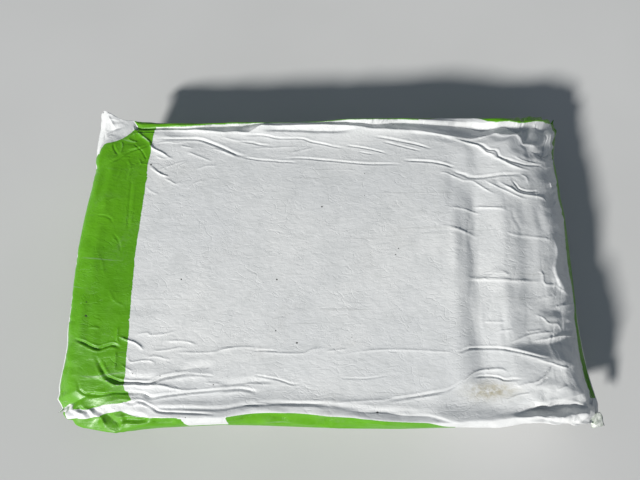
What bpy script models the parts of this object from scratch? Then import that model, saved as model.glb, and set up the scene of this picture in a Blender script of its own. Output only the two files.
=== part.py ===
"""Filled 20 kg cement bag of polyethylene film, lying flat. Metres, +Z up.

Origin: centre of the bounding box, on the floor. +X runs along the bag's length, from the end with
the colour band to the plain end; +Y runs across it, away from the viewer; +Z is up.

The film is 0.15 mm thick and lies on the powder everywhere, so the film and its fill are one solid.
The two ends are welded straight across. Each weld leaves a flat margin with a pointed ear where the
side gusset is caught in it: the ear at the banded end points to the back, the one at the plain end
to the front.
"""

import math

import bmesh
import bpy
from mathutils import Vector

# ---- driving dimensions, in metres
BODY_LENGTH = 0.524  # filled body, end bulge to end bulge
BODY_WIDTH = 0.336  # filled body, side bulge to side bulge
BODY_HEIGHT = 0.106  # floor to the highest point of the top panel
FOOT_LENGTH = 0.440  # flat patch that lies on the floor
FOOT_WIDTH = 0.262
SHOULDER_INSET = 0.030  # how far the top panel's edge lies inside the side bulge
CORNER_ROUNDING = 0.100  # share of the half size that the plan corners lose
WELD_HEIGHT = 0.047  # height of the welded margins at the ends
WELD_THICKNESS = 0.0012  # welded film layers, with their waviness
# Places below are from the middle of the bag's width and 4 mm towards the banded end from the middle of its length.
BODY_MIDDLE_X = 0.0040
BANDED_WELD_X = -0.2600  # outer edge of the weld at the banded end
PLAIN_WELD_X = 0.2670  # outer edge of the weld at the plain end
EAR_BACK = (-0.2520, 0.1840)  # tip of the ear at the banded end
EAR_FRONT = (0.2770, -0.1640)  # tip of the ear at the plain end

EAR_PULL = (0.010, 0.026)  # how far the fill's corner is drawn out into each ear, in x and y

# Levels of the cage's rings, from the foot to the top, with their heights as a share of the body's.
RINGS = ((-1.0, 0.00), (-0.5, 0.16), (0.0, 0.45), (0.5, 0.80), (1.0, 1.00))
X_CUTS = (-0.86, -0.55, -0.18, 0.18, 0.55, 0.86)
Y_CUTS = (-0.80, -0.42, 0.0, 0.42, 0.80)

FILM_WHITE = (0.74, 0.75, 0.76, 1.0)
FILM_GREEN = (0.12, 0.36, 0.015, 1.0)


def clear_scene():
    for obj in list(bpy.data.objects):
        bpy.data.objects.remove(obj)


def make_collection(name):
    collection = bpy.data.collections.new(name)
    bpy.context.scene.collection.children.link(collection)
    return collection


def film_material(name, colour):
    material = bpy.data.materials.new(name)
    material.use_nodes = True
    shader = material.node_tree.nodes["Principled BSDF"]
    shader.inputs["Base Color"].default_value = colour
    shader.inputs["Roughness"].default_value = 0.34
    shader.inputs["Metallic"].default_value = 0.0
    material.diffuse_color = colour
    return material


def cut_cage(bm, axis, at):
    """One loop of edges round the cage, square to an axis."""
    normal = Vector((0, 0, 0))
    normal[axis] = 1.0
    bmesh.ops.bisect_plane(
        bm,
        geom=bm.verts[:] + bm.edges[:] + bm.faces[:],
        plane_co=normal * at,
        plane_no=normal,
        dist=1e-6,
    )


def ring_inset(level):
    """How far a ring of the cage lies inside the widest section, in x and y, at this level (-1 to 1)."""
    below = max(0.0, -level)
    above = max(0.0, level)
    foot_x = (BODY_LENGTH - FOOT_LENGTH) / 2
    foot_y = (BODY_WIDTH - FOOT_WIDTH) / 2
    return (
        foot_x * below**2.2 + SHOULDER_INSET * above**2.0,
        foot_y * below**2.2 + SHOULDER_INSET * above**2.0,
    )


def ring_height(level):
    for (l0, h0), (l1, h1) in zip(RINGS, RINGS[1:]):
        if level <= l1 + 1e-6:
            return BODY_HEIGHT * (h0 + (h1 - h0) * (level - l0) / (l1 - l0))
    return BODY_HEIGHT


def place(v):
    """From the unit cage to the bag's pillow form."""
    a, b, c = v
    inset_x, inset_y = ring_inset(c)
    half_x = BODY_LENGTH / 2 - inset_x
    half_y = BODY_WIDTH / 2 - inset_y
    x = a * half_x * (1 - CORNER_ROUNDING * abs(b) ** 4 * 0.5)
    y = b * half_y * (1 - CORNER_ROUNDING * abs(a) ** 4 * 0.5)
    z = ring_height(c)
    if c > 0.5:  # the top panel sags towards its edges, most at the corners
        edge = max(abs(a), abs(b))
        z -= BODY_HEIGHT * 0.10 * edge**4 + BODY_HEIGHT * 0.10 * abs(a * b) ** 3
    elif c > -0.9:  # the corners of the fill slump a little
        z -= BODY_HEIGHT * 0.05 * abs(a * b) ** 3 * (c + 1) / 2
    if a * b < -0.99:  # the two corners with an ear: the film tapers the fill towards it
        draw = max(0.0, 1 - abs(c) / 0.75)
        x += math.copysign(EAR_PULL[0] * draw, a)
        y += math.copysign(EAR_PULL[1] * draw, b)
    return Vector((x, y, z))


def build_body(collection, white, green):
    mesh = bpy.data.meshes.new("sack")
    bm = bmesh.new()
    bmesh.ops.create_cube(bm, size=2.0)
    for at in X_CUTS:
        cut_cage(bm, 0, at)
    for at in Y_CUTS:
        cut_cage(bm, 1, at)
    for at, _ in RINGS[1:-1]:
        cut_cage(bm, 2, at)
    bm.normal_update()
    for face in bm.faces:
        centre = face.calc_center_median()
        side = abs(face.normal.z) < 0.5
        band = centre.x < X_CUTS[0] and centre.z > 0
        face.material_index = 1 if side or band else 0
    for vert in bm.verts:
        vert.co = place(vert.co)
    bm.to_mesh(mesh)
    bm.free()
    mesh.materials.append(white)
    mesh.materials.append(green)
    body = bpy.data.objects.new("sack", mesh)
    collection.objects.link(body)
    smooth = body.modifiers.new("soft_form", "SUBSURF")
    smooth.levels = smooth.render_levels = 2
    return body


def evaluated_bounds(obj):
    bpy.context.view_layer.update()
    seen = obj.evaluated_get(bpy.context.evaluated_depsgraph_get())
    mesh = seen.to_mesh()
    points = [obj.matrix_world @ v.co for v in mesh.vertices]
    seen.to_mesh_clear()
    low = Vector([min(p[i] for p in points) for i in range(3)])
    high = Vector([max(p[i] for p in points) for i in range(3)])
    return low, high


def fit_to_size(body):
    """Subdivision draws the form in from its cage, so the cage is stretched until the form has its real size."""
    low, high = evaluated_bounds(body)
    size = high - low
    wanted = (BODY_LENGTH, BODY_WIDTH, BODY_HEIGHT)
    for vert in body.data.vertices:
        vert.co.x = (vert.co.x - (low.x + high.x) / 2) * wanted[0] / size.x
        vert.co.y = (vert.co.y - (low.y + high.y) / 2) * wanted[1] / size.y
        vert.co.z = (vert.co.z - low.z) * wanted[2] / size.z


def flat_margin(name, outline, collection):
    """A welded margin: a flat outline of film, thickened about its middle, as a mesh."""
    curve = bpy.data.curves.new(name, "CURVE")
    curve.dimensions = "2D"
    curve.fill_mode = "BOTH"
    curve.extrude = WELD_THICKNESS / 2
    spline = curve.splines.new("POLY")
    spline.points.add(len(outline) - 1)
    for point, (x, y) in zip(spline.points, outline):
        point.co = (x, y, 0.0, 1.0)
    spline.use_cyclic_u = True
    drawn = bpy.data.objects.new(name, curve)
    drawn.location = (0.0, 0.0, WELD_HEIGHT)
    collection.objects.link(drawn)
    bpy.context.view_layer.update()
    graph = bpy.context.evaluated_depsgraph_get()
    mesh = bpy.data.meshes.new_from_object(drawn.evaluated_get(graph))
    bm = bmesh.new()
    bm.from_mesh(mesh)
    bmesh.ops.remove_doubles(bm, verts=bm.verts[:], dist=1e-6)
    bmesh.ops.recalc_face_normals(bm, faces=bm.faces[:])
    bm.to_mesh(mesh)
    bm.free()
    made = bpy.data.objects.new(name + "_shape", mesh)
    made.matrix_world = drawn.matrix_world
    collection.objects.link(made)
    bpy.data.objects.remove(drawn)
    made.hide_render = True
    made.display_type = "WIRE"
    return made


def smooth_between(p, q, bow, steps):
    """Points from p to q along a shallow bow to the left of the line."""
    p, q = Vector((*p, 0)), Vector((*q, 0))
    along = q - p
    left = Vector((-along.y, along.x, 0)).normalized()
    out = []
    for i in range(steps):
        t = i / steps
        at = p + along * t + left * bow * math.sin(math.pi * t)
        out.append((at.x, at.y))
    return out


def margin_outlines():
    """Plan outlines of the two welded margins, each with its ear. They reach well inside the body."""
    y_side = BODY_WIDTH / 2
    banded = (
        smooth_between((BANDED_WELD_X, -0.130), (-0.2560, 0.120), 0.0005, 8)
        + smooth_between((-0.2560, 0.120), EAR_BACK, 0.0010, 4)
        + [EAR_BACK]
        + smooth_between((-0.2450, 0.1790), (-0.150, y_side - 0.008), 0.0035, 5)
        + [(-0.150, 0.120), (-0.200, 0.100), (-0.200, -0.110)]
    )
    plain = (
        smooth_between((PLAIN_WELD_X, 0.130), (PLAIN_WELD_X + 0.0015, -0.080), 0.0003, 8)
        + smooth_between((PLAIN_WELD_X + 0.0015, -0.080), (0.2765, -0.1480), -0.0010, 4)
        + [(0.2765, -0.1480), EAR_FRONT, (0.2690, -0.1685), (0.2560, -0.1670)]
        + smooth_between((0.2560, -0.1670), (0.150, -y_side + 0.006), 0.0010, 5)
        + [(0.150, -0.120), (0.200, -0.100), (0.200, 0.110)]
    )
    return banded, plain


def join(body, other):
    union = body.modifiers.new(other.name, "BOOLEAN")
    union.operation = "UNION"
    union.solver = "EXACT"
    union.object = other


def main():
    clear_scene()
    parts = make_collection("cement_bag")
    helpers = make_collection("welded_margin_shapes")
    white = film_material("white_film", FILM_WHITE)
    green = film_material("green_film", FILM_GREEN)
    body = build_body(parts, white, green)
    fit_to_size(body)
    margins = [
        flat_margin(name, outline, helpers)
        for name, outline in zip(("banded_end_margin", "plain_end_margin"), margin_outlines())
    ]
    for vert in body.data.vertices:
        vert.co.x += BODY_MIDDLE_X
    for margin in margins:
        join(body, margin)
    # the origin goes to the middle of the whole outline, ears included, on the floor
    low, high = evaluated_bounds(body)
    shift = Vector(((low.x + high.x) / 2, (low.y + high.y) / 2, 0.0))
    for obj in [body, *margins]:
        obj.location -= shift
    body.data.shade_smooth()
    body.data.set_sharp_from_angle(angle=math.radians(40))


main()
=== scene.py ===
"""Looks of a filled cement sack of printed polyethylene film, lying flat. Metres, +Z up.

The film is a gusseted tube, welded straight across at both ends. It is modelled from its flat pattern:
a coarse tube with the pattern's own lengths is blown out by a cloth simulation between a floor and a
crowned plate, with both welds held. The result is resampled finely in film coordinates
(s round the tube, t along it, in millimetres), and creases, rims, welds, folds and crumples are laid on it.
Print, dirt and scratches follow the same film coordinates.
"""

import math

import bmesh
import bpy
import numpy as np
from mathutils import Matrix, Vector
from mathutils.bvhtree import BVHTree
from mathutils.geometry import delaunay_2d_cdt


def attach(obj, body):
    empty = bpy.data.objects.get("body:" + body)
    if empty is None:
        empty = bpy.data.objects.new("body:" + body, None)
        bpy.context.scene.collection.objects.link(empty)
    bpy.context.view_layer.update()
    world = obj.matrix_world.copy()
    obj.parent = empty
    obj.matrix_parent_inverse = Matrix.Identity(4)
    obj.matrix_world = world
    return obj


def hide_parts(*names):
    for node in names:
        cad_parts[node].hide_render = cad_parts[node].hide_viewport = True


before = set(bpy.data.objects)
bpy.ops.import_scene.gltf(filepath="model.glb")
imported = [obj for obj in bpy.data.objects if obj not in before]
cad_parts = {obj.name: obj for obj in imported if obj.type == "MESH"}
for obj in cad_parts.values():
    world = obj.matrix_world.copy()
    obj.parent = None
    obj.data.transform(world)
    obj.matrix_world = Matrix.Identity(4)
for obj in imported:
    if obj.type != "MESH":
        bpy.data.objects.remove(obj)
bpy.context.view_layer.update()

# ------------------------------------------------------------------ the film's flat pattern, in mm
PANEL = 327.0  # front panel and underside, crease to crease
GUSSET = 81.0  # side gusset, opened out
LENGTH = 586.0  # weld to weld
AROUND = 2 * PANEL + 2 * GUSSET
FIN = 8.0  # welded margin outside the weld
TOP_MM = 106.0
WELD_Z = 48.0
SHIFT_Y = -7.5  # middle of the body against the middle of the box, which the ears widen

# ------------------------------------------------------------------ camera, as the photograph was taken
CAM_AT = Vector((-0.0085, -0.13675, 0.557))
CAM_DOWN = math.radians(73.4)
CAM_F = 490.0  # focal length in pixels of a 640 x 480 frame


# ------------------------------------------------------------------ coarse tube and cloth
N_PANEL, N_GUSSET, N_LENGTH = 54, 12, 96


def ring_coordinates():
    s = [i * PANEL / N_PANEL for i in range(N_PANEL)]
    s += [PANEL + i * GUSSET / N_GUSSET for i in range(N_GUSSET)]
    s += [PANEL + GUSSET + i * PANEL / N_PANEL for i in range(N_PANEL)]
    s += [2 * PANEL + GUSSET + i * GUSSET / N_GUSSET for i in range(N_GUSSET)]
    return np.array(s)


def side_of(s):
    """0 front panel, 1 near gusset, 2 underside, 3 far gusset"""
    s = np.asarray(s) % AROUND
    return np.digitize(s, [PANEL, PANEL + GUSSET, 2 * PANEL + GUSSET])


def open_section(s):
    """(y, z) of the filled cross-section in mm, by film length from the middle of the front panel."""
    n = 3.2
    a = np.linspace(0, 2 * math.pi, 4001)
    y = 167.0 * np.sign(np.cos(a)) * np.abs(np.cos(a)) ** (2 / n)
    z = 50.0 * np.sign(np.sin(a)) * np.abs(np.sin(a)) ** (2 / n)
    run = np.r_[0, np.cumsum(np.hypot(np.diff(y), np.diff(z)))]
    top = np.interp(math.pi / 2, a, run)
    at = (top + (s - PANEL / 2) / AROUND * run[-1]) % run[-1]
    return np.interp(at, run, y), np.interp(at, run, z) + 52.0


def welded_section(s):
    """(place across the weld, layer) of the flattened end in mm; the gussets are folded in between the panels."""
    half = PANEL / 2
    y, layer = np.zeros(len(s)), np.zeros(len(s))
    for k, (at, part) in enumerate(zip(s, side_of(s))):
        if part == 0:
            y[k], layer[k] = half - at, 0.75
        elif part == 1:
            g = at - PANEL
            y[k] = -half + min(g, GUSSET - g)
            layer[k] = 0.75 if g == 0 else (0.25 if g < GUSSET / 2 else -0.25)
        elif part == 2:
            y[k], layer[k] = -half + (at - PANEL - GUSSET), -0.75
        else:
            g = at - 2 * PANEL - GUSSET
            y[k] = half - min(g, GUSSET - g)
            layer[k] = -0.75 if g == 0 else (-0.25 if g < GUSSET / 2 else 0.25)
    return y, layer


def weld_line(y, end):
    """Where a point of the weld lies, in mm. end is -1 at the banded end and 1 at the plain end."""
    u = y / (PANEL / 2)
    if end < 0:
        x = -261.0 - 1.0 * np.cos(u * 1.5) + 6.0 * np.clip(u - 0.45, 0, 1) ** 1.4
        lift = np.clip(u - 0.5, 0, 1)
        return x, y * 0.995 + 2.0 + 11.0 * lift, WELD_Z - 4.0 * u + 26.0 * lift
    x = 256.0 + 5.0 * np.clip(-u, 0, 1) ** 1.3
    return x, y * 0.995 - 9.0, WELD_Z - 2.0 - 8.0 * np.clip(-u - 0.4, 0, 1)


def coarse_tube():
    """Start and flat-pattern coordinates of the coarse tube, rows along t and columns round s, in mm."""
    s = ring_coordinates()
    wy, layer = welded_section(s)
    oy, oz = open_section(s)
    oy = oy + SHIFT_Y
    t = np.linspace(0, LENGTH, N_LENGTH + 1)
    start = np.zeros((len(t), len(s), 3))
    flat = np.zeros_like(start)
    radius = AROUND / 2 / math.pi
    angle = math.pi / 2 + (s - PANEL / 2) / radius
    reach, half = 100.0, 260.0
    for r, at in enumerate(t):
        e = min(at, LENGTH - at)
        end = -1 if at < LENGTH / 2 else 1
        inward = (1 - math.cos(min(e / reach, 1) * math.pi / 2)) * 62.0 + max(0, e - reach)
        whole = 62.0 + LENGTH / 2 - reach
        x_open = end * (half - inward * half / whole) - 3.0
        b = math.sin(min(e / reach, 1) * math.pi / 2) ** 0.8
        wx, wyy, wz = weld_line(wy, end)
        start[r, :, 0] = wx * (1 - b) + x_open * b
        start[r, :, 1] = wyy * (1 - b) + oy * b
        start[r, :, 2] = (wz + layer) * (1 - b) + oz * b
        flat[r, :, 0] = at - LENGTH / 2
        flat[r, :, 1] = radius * np.cos(angle)
        flat[r, :, 2] = radius * np.sin(angle)
    return start, flat


def zipped(a, b, across):
    """Triangles between two chains of vertices that run the same way across the weld."""
    faces, i, j = [], 0, 0
    while i < len(a) - 1 or j < len(b) - 1:
        if j == len(b) - 1 or (i < len(a) - 1 and abs(across[a[i + 1]] - across[a[0]]) <= abs(across[b[j + 1]] - across[a[0]])):
            face = (a[i], a[i + 1], b[j])
            i += 1
        else:
            face = (a[i], b[j + 1], b[j])
            j += 1
        if len(set(face)) == 3:
            faces.append(face)
    return faces


def end_cap(first, parts, across):
    """Faces that close one end of the tube: each layer of the flattened end is joined to the next."""
    n_panel, n_gusset, n_under = parts
    n_ring = n_panel + 2 * n_gusset + n_under
    ring = [first + k % n_ring for k in range(n_ring + 1)]
    across = {first + k: y for k, y in enumerate(across)}
    top = ring[: n_panel + 1]
    near = ring[n_panel : n_panel + n_gusset + 1]
    under = ring[n_panel + n_gusset : n_panel + n_gusset + n_under + 1]
    far = ring[n_panel + n_gusset + n_under :]
    h = n_gusset // 2
    low, high = across[near[h]], across[far[h]]
    top = top[::-1]  # now both panels run from the near crease to the far one
    cut = [[k for k, v in enumerate(panel) if across[v] <= low][-1] for panel in (top, under)]
    stop = [[k for k, v in enumerate(panel) if across[v] >= high][0] for panel in (top, under)]
    faces = zipped(top[: cut[0] + 1], near[: h + 1], across)
    faces += zipped(under[: cut[1] + 1], near[: h - 1 : -1], across)
    faces.append((top[cut[0]], near[h], under[cut[1]]))
    faces += zipped(top[cut[0] : stop[0] + 1], under[cut[1] : stop[1] + 1], across)
    faces.append((top[stop[0]], far[h], under[stop[1]]))
    faces += zipped(under[: stop[1] - 1 : -1], far[: h + 1], across)
    faces += zipped(top[: stop[0] - 1 : -1], far[: h - 1 : -1], across)
    return faces


def tube_object(name, points, parts, across):
    """A closed mesh from rows of ring points, in mm, with both ends capped."""
    rows, n_ring = points.shape[:2]
    k = np.arange(n_ring)
    quads = []
    for r in range(rows - 1):
        a = r * n_ring
        quads.append(np.stack([a + k, a + (k + 1) % n_ring, a + n_ring + (k + 1) % n_ring, a + n_ring + k], 1))
    faces = np.concatenate(quads).tolist()
    faces += end_cap(0, parts, across)
    faces += end_cap((rows - 1) * n_ring, parts, across)
    mesh = bpy.data.meshes.new(name)
    mesh.from_pydata((points.reshape(-1, 3) / 1000).tolist(), [], faces)
    bm = bmesh.new()
    bm.from_mesh(mesh)
    bmesh.ops.recalc_face_normals(bm, faces=bm.faces[:])
    bm.to_mesh(mesh)
    bm.free()
    obj = bpy.data.objects.new(name, mesh)
    bpy.context.scene.collection.objects.link(obj)
    return obj


def plate(name, height):
    """A collision plate: the floor, or the crowned plate that stands for the sacks that pressed this one flat."""
    mesh = bpy.data.meshes.new(name)
    bm = bmesh.new()
    bmesh.ops.create_grid(bm, x_segments=32, y_segments=22, size=1.0)
    for v in bm.verts:
        x, y = v.co.x * 0.40, v.co.y * 0.26
        v.co = Vector((x, y, height(x, y)))
    bm.to_mesh(mesh)
    bm.free()
    obj = bpy.data.objects.new(name, mesh)
    bpy.context.scene.collection.objects.link(obj)
    obj.modifiers.new("collision", "COLLISION")
    obj.collision.thickness_outer = 0.001
    obj.collision.cloth_friction = 8
    return obj


def crown(x, y):
    y = y - SHIFT_Y / 1000
    return TOP_MM / 1000 + 0.0005 - 0.010 * (abs(x) / 0.27) ** 3 - 0.013 * (abs(y) / 0.168) ** 3


def reached_by_filling(s, t):
    """How much the filling presses on the film: not in the four ears, where the film lies flat on itself."""
    e = min(t, LENGTH - t)
    part = side_of(s)
    edge = np.where(part == 0, np.minimum(s, PANEL - s), 0.0)
    edge = np.where(part == 2, np.minimum(s - PANEL - GUSSET, 2 * PANEL + GUSSET - s), edge)
    panel = ease(0.5 + 1.3 * (edge / 44 + e / 58 - 1))
    gusset = ease((e - 34) / 46) * np.ones(len(s))
    return np.where(part % 2 == 0, panel, gusset)


def blown_tube():
    """The coarse tube after the cloth simulation, as rows of ring points in mm."""
    start, flat = coarse_tube()
    across, _ = welded_section(ring_coordinates())
    obj = tube_object("film_simulation", start, (N_PANEL, N_GUSSET, N_PANEL), across)
    obj.shape_key_add(name="Basis")
    pattern = obj.shape_key_add(name="flat_pattern")
    pattern.data.foreach_set("co", (flat.reshape(-1) / 1000).astype(np.float32))
    pattern.value = 0.0
    rows, n_ring = start.shape[:2]
    welds = obj.vertex_groups.new(name="welds")
    welds.add(list(range(n_ring)) + list(range((rows - 1) * n_ring, rows * n_ring)), 1.0, "REPLACE")
    filled = obj.vertex_groups.new(name="filled")
    ring = ring_coordinates()
    for r, at in enumerate(np.linspace(0, LENGTH, rows)):
        for k, share in enumerate(reached_by_filling(ring, at)):
            filled.add([r * n_ring + k], float(share), "REPLACE")
    cloth = obj.modifiers.new("film", "CLOTH")
    c = cloth.settings
    c.quality, c.mass, c.air_damping = 7, 0.25, 2.0
    c.tension_stiffness = c.compression_stiffness = 60
    c.shear_stiffness, c.bending_stiffness = 20, 0.08
    c.tension_damping = c.compression_damping = 15
    c.shear_damping, c.bending_damping = 10, 0.5
    c.use_pressure, c.uniform_pressure_force = True, 30.0
    c.use_pressure_volume, c.target_volume = True, 0.0160
    c.vertex_group_mass, c.pin_stiffness = "welds", 1.0
    c.vertex_group_pressure = "filled"
    c.rest_shape_key = pattern
    c.effector_weights.gravity = 0.0
    cloth.collision_settings.distance_min = 0.001
    cloth.collision_settings.collision_quality = 3
    plates = [plate("plate_under", lambda x, y: -0.001), plate("plate_over", crown)]
    scene = bpy.context.scene
    scene.frame_start, scene.frame_end = 1, 14
    cloth.point_cache.frame_start, cloth.point_cache.frame_end = 1, 14
    for f in range(1, 15):
        scene.frame_set(f)
    seen = obj.evaluated_get(bpy.context.evaluated_depsgraph_get())
    mesh = seen.to_mesh()
    co = np.zeros(len(mesh.vertices) * 3, np.float32)
    mesh.vertices.foreach_get("co", co)
    seen.to_mesh_clear()
    for o in [obj, *plates]:
        bpy.data.objects.remove(o)
    scene.frame_set(1)
    return co.reshape(rows, n_ring, 3).astype(float) * 1000


# ------------------------------------------------------------------ fine film
def smooth_rows(p, times):
    """Evens the simulated film out, except the welds."""
    for _ in range(times):
        q = p.copy()
        q[1:-1] = 0.5 * p[1:-1] + 0.125 * (p[:-2] + p[2:] + np.roll(p, 1, 1)[1:-1] + np.roll(p, -1, 1)[1:-1])
        p = q
    return p


def cubic(values, at, axis, wrap):
    """Catmull-Rom interpolation of an array along an axis at fractional indices."""
    n = values.shape[axis]
    i = np.floor(at).astype(int)
    if not wrap:
        i = np.clip(i, 0, n - 2)
    f = at - i
    shape = [1] * values.ndim
    shape[axis] = len(at)
    f = f.reshape(shape)
    pick = [(i + k) % n if wrap else np.clip(i + k, 0, n - 1) for k in (-1, 0, 1, 2)]
    a, b, c, d = (np.take(values, k, axis) for k in pick)
    return b + 0.5 * f * (c - a + f * (2 * a - 5 * b + 4 * c - d + f * (3 * (b - c) + d - a)))



def spaced(stops, start, stop):
    """Places from start to stop at a spacing that is given at some stops and runs evenly between them."""
    at = np.linspace(start, stop, 4000)
    gap = np.interp(at, [p for p, _ in stops], [g for _, g in stops])
    count = np.r_[0, np.cumsum(0.5 * (1 / gap[1:] + 1 / gap[:-1]) * np.diff(at))]
    n = int(round(count[-1]))
    return np.interp(np.linspace(0, count[-1], n + 1), count, at)


def fine_places():
    """Film coordinates of the fine mesh's lines: close where the film is creased, wide underneath."""
    panel = spaced([(0, 0.6), (20, 0.7), (105, 0.8), (130, 1.3), (205, 1.3), (232, 0.8), (307, 0.7), (327, 0.6)], 0, PANEL)
    half = spaced([(0, 0.6), (10, 1.0), (26, 1.8), (36, 1.6), (GUSSET / 2, 0.8)], 0, GUSSET / 2)
    gusset = np.r_[half, GUSSET - half[-2::-1]]
    under = spaced([(0, 1.0), (14, 4.0), (40, 12.0), (PANEL / 2, 20.0)], 0, PANEL / 2)
    under = np.r_[under, PANEL - under[-2::-1]]
    s = np.r_[panel[:-1], PANEL + gusset[:-1], PANEL + GUSSET + under[:-1], 2 * PANEL + GUSSET + gusset[:-1]]
    t = spaced([(0, 0.9), (20, 0.95), (140, 1.1), (185, 1.7), (405, 1.7), (440, 1.1), (566, 0.95), (LENGTH, 0.9)], 0, LENGTH)
    return s, t, (len(panel) - 1, len(gusset) - 1, len(under) - 1)


# ------------------------------------------------------------------ outline, as the camera sees it
# The sack's outline in the photograph's pixels, with its ears, without the loose tab.
OUTLINE = [
    (105, 108), (111, 111), (120, 117), (130, 120), (140, 121.5), (160, 123), (200, 123), (240, 122.3), (280, 122.5),
    (320, 121.5), (345, 119), (400, 118.3), (440, 118.2), (500, 118), (530, 116.5), (545, 117), (552, 120), (555.5, 126),
    (556.5, 133), (555.5, 140), (554, 150), (554, 160), (555.5, 168), (558, 180), (560.5, 198), (564.5, 215), (568.5, 245),
    (573.5, 285), (577.5, 320), (580, 335), (583, 350), (587, 368), (591, 382), (595, 394), (599, 405), (598, 414),
    (594, 424), (590, 425.5), (560, 425), (540, 423.5), (525, 423.5), (500, 428), (460, 427.5), (440, 428), (400, 429),
    (340, 428.5), (300, 427), (260, 425.5), (220, 425), (180, 427), (160, 428), (140, 430), (120, 433), (110, 433),
    (100, 431), (80, 427.5), (76, 425), (68, 419), (60, 415), (58, 402), (58, 393), (60, 380), (64, 362), (67, 345), (67.5, 330),
    (70.5, 310), (74, 280), (78, 250), (84, 220), (90, 195), (95, 174), (96.5, 168), (95.5, 163), (97, 150), (100, 130),
    (102, 120),
]
MIDDLE_PX = np.array((325.0, 272.0))


def to_pixels(p_mm):
    """Where points, in mm, show in the 640 x 480 frame."""
    d = p_mm / 1000 - np.array(CAM_AT)
    s, c = math.sin(CAM_DOWN), math.cos(CAM_DOWN)
    ahead = d[..., 1] * c - d[..., 2] * s
    down = -d[..., 1] * s - d[..., 2] * c
    return np.stack([320 + CAM_F * d[..., 0] / ahead, 240 + CAM_F * down / ahead], -1), ahead


def radial(outline, angles):
    """How far a closed outline is from the middle, in each direction."""
    o = np.array(outline, float) - MIDDLE_PX
    a, b = o, np.roll(o, -1, 0)
    d = np.stack([np.cos(angles), np.sin(angles)], 1)
    best = np.zeros(len(angles))
    for p, q in zip(a, b):
        e = q - p
        det = d[:, 0] * -e[1] + d[:, 1] * e[0]
        with np.errstate(divide="ignore", invalid="ignore"):
            r = (p[0] * -e[1] + p[1] * e[0]) / det
            f = (d[:, 0] * p[1] - d[:, 1] * p[0]) / det
        ok = (r > 0) & (f >= -1e-6) & (f <= 1 + 1e-6)
        best[ok] = np.maximum(best[ok], r[ok])
    return best


def fit_outline(fine, rounds=4):
    """Draws the body in or out, level by level alike, until its outline in the picture is the photograph's."""
    n, many = 360, 3600
    angles = (np.arange(n) + 0.5) / n * 2 * math.pi - math.pi
    wanted = radial(OUTLINE, angles)
    dense = radial(OUTLINE, (np.arange(many) + 0.5) / many * 2 * math.pi - math.pi)
    spoke = np.stack([np.cos(angles), np.sin(angles)], 1)
    course = spoke * wanted[:, None]
    tangent = sum(np.roll(course, -k, 0) - np.roll(course, k, 0) for k in (2, 4, 6))
    normal = np.stack([tangent[:, 1], -tangent[:, 0]], 1)
    normal /= np.linalg.norm(normal, axis=1, keepdims=True)
    normal *= np.clip((normal * spoke).sum(1), 0.35, 1)[:, None]  # a gap along the spoke, closed across the outline
    for _ in range(rounds):
        px, ahead = to_pixels(fine)
        rel = px - MIDDLE_PX
        turn = np.arctan2(rel[..., 1], rel[..., 0])
        far = np.hypot(rel[..., 0], rel[..., 1])
        over = np.full(n, -1e9)  # how far the outermost point of each sector is outside the outline
        between = [px, (px[1:] + px[:-1]) / 2, (px + np.roll(px, 1, 1)) / 2]
        for q in between:
            q = q.reshape(-1, 2) - MIDDLE_PX
            share = (np.arctan2(q[:, 1], q[:, 0]) + math.pi) / (2 * math.pi)
            excess = np.hypot(q[:, 0], q[:, 1]) - dense[(share * many).astype(int) % many]
            np.maximum.at(over, (share * n).astype(int) % n, excess)
        gap = -over
        reach = wanted + over
        gap = (np.roll(gap, 1) + gap * 2 + np.roll(gap, -1)) / 4
        at = (turn + math.pi) / (2 * math.pi) * n - 0.5
        i = np.floor(at).astype(int)
        f = at - i
        g = gap[i % n] * (1 - f) + gap[(i + 1) % n] * f
        edge = reach[i % n] * (1 - f) + reach[(i + 1) % n] * f
        share = np.clip(far / edge, 0, 1.1) ** 6
        mm = g * share * ahead / CAM_F * 1000
        way = normal[i % n] * (1 - f)[..., None] + normal[(i + 1) % n] * f[..., None]
        fine[..., 0] += mm * way[..., 0]
        fine[..., 1] -= mm * way[..., 1]
    return fine


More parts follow.
